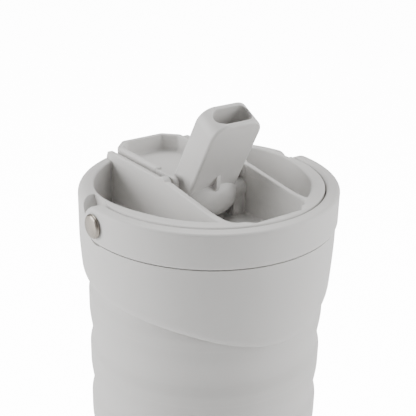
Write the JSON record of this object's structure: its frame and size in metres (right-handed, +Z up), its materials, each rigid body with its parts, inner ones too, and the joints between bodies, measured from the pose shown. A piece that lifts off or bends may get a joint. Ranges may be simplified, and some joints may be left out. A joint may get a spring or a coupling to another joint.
{
  "type": "collapsible travel cup",
  "caption": "Collapsible travel cup with a waved soft wall, a swooping lid collar, a swinging carry handle, and a flip-up drinking spout with a hinged cover.",
  "frame": {"origin": "centre of the foot, on the surface the cup stands on", "axes": "+Z up along the cup's axis; -Y is the front, where the stowed handle crosses; X is the handle's pivot axis"},
  "size_m": [0.0888, 0.0856, 0.1693],
  "materials": {
    "lid_plastic": "fine satin texture, warm light grey",
    "handle_plastic": "fine satin texture, warm light grey",
    "spout_plastic": "smooth satin",
    "wall_silicone": "soft matte silicone",
    "seal_silicone": "matte silicone",
    "rivet_steel": "brushed nickel-coloured steel"
  },
  "bodies": {
    "base": {"base_cup": "wall_silicone", "foot_ring": "seal_silicone", "body_web_5": "wall_silicone"},
    "band_4": {"body_band_4": "wall_silicone", "body_web_4": "wall_silicone"},
    "band_3": {"body_band_3": "wall_silicone", "body_web_3": "wall_silicone"},
    "band_2": {"body_band_2": "wall_silicone", "body_web_2": "wall_silicone"},
    "band_1": {"body_band_1": "wall_silicone", "body_web_1": "wall_silicone"},
    "neck": {"neck_ring": "lid_plastic"},
    "lid": {"lid_shell": "lid_plastic", "lid_gasket": "seal_silicone", "spout_seal": "seal_silicone", "handle_rivet_left": "rivet_steel", "handle_rivet_right": "rivet_steel", "rivet_bush_left": "lid_plastic", "rivet_bush_right": "lid_plastic", "spout_axle_left": "rivet_steel", "spout_axle_right": "rivet_steel", "cover_pin_left": "rivet_steel", "cover_pin_right": "rivet_steel"},
    "handle": {"carry_handle": "handle_plastic"},
    "spout": {"spout": "spout_plastic"},
    "cover": {"spout_cover": "spout_plastic"}
  },
  "joints": [
    {"name": "collapse", "type": "slide", "parent": "base", "child": "band_4", "axis": [0, 0, -1], "range_m": [0, 0.013], "deforming": ["body_web_5"]},
    {"name": "collapse_4", "type": "slide", "parent": "band_4", "child": "band_3", "axis": [0, 0, -1], "range_m": [0, 0.013], "deforming": ["body_web_4"]},
    {"name": "collapse_3", "type": "slide", "parent": "band_3", "child": "band_2", "axis": [0, 0, -1], "range_m": [0, 0.013], "deforming": ["body_web_3"]},
    {"name": "collapse_2", "type": "slide", "parent": "band_2", "child": "band_1", "axis": [0, 0, -1], "range_m": [0, 0.013], "deforming": ["body_web_2"]},
    {"name": "collapse_1", "type": "slide", "parent": "band_1", "child": "neck", "axis": [0, 0, -1], "range_m": [0, 0.0075], "deforming": ["body_web_1"]},
    {"name": "lid_lift", "type": "slide", "parent": "neck", "child": "lid", "axis": [0, 0, 1], "range_m": [0, 0.014]},
    {"name": "handle_swing", "type": "hinge", "parent": "lid", "child": "handle", "pos_m": [0, 0, 0.13585], "axis": [-1, 0, 0], "range_deg": [0, 115]},
    {"name": "cover_flip", "type": "hinge", "parent": "lid", "child": "cover", "pos_m": [0, 0.0025, 0.1423], "axis": [1, 0, 0], "range_deg": [0, 180]},
    {"name": "spout_fold", "type": "hinge", "parent": "lid", "child": "spout", "pos_m": [0, 0.0018, 0.1357], "axis": [1, 0, 0], "range_deg": [0, 62.1]}
  ],
  "couplings": [
    {"joint": "collapse_4", "follows": "collapse", "ratio": 1},
    {"joint": "collapse_3", "follows": "collapse", "ratio": 1},
    {"joint": "collapse_2", "follows": "collapse", "ratio": 1},
    {"joint": "collapse_1", "follows": "collapse", "ratio": 0.5769},
    {"joint": "spout_fold", "follows": "cover_flip", "ratio": 0.34444}
  ]
}
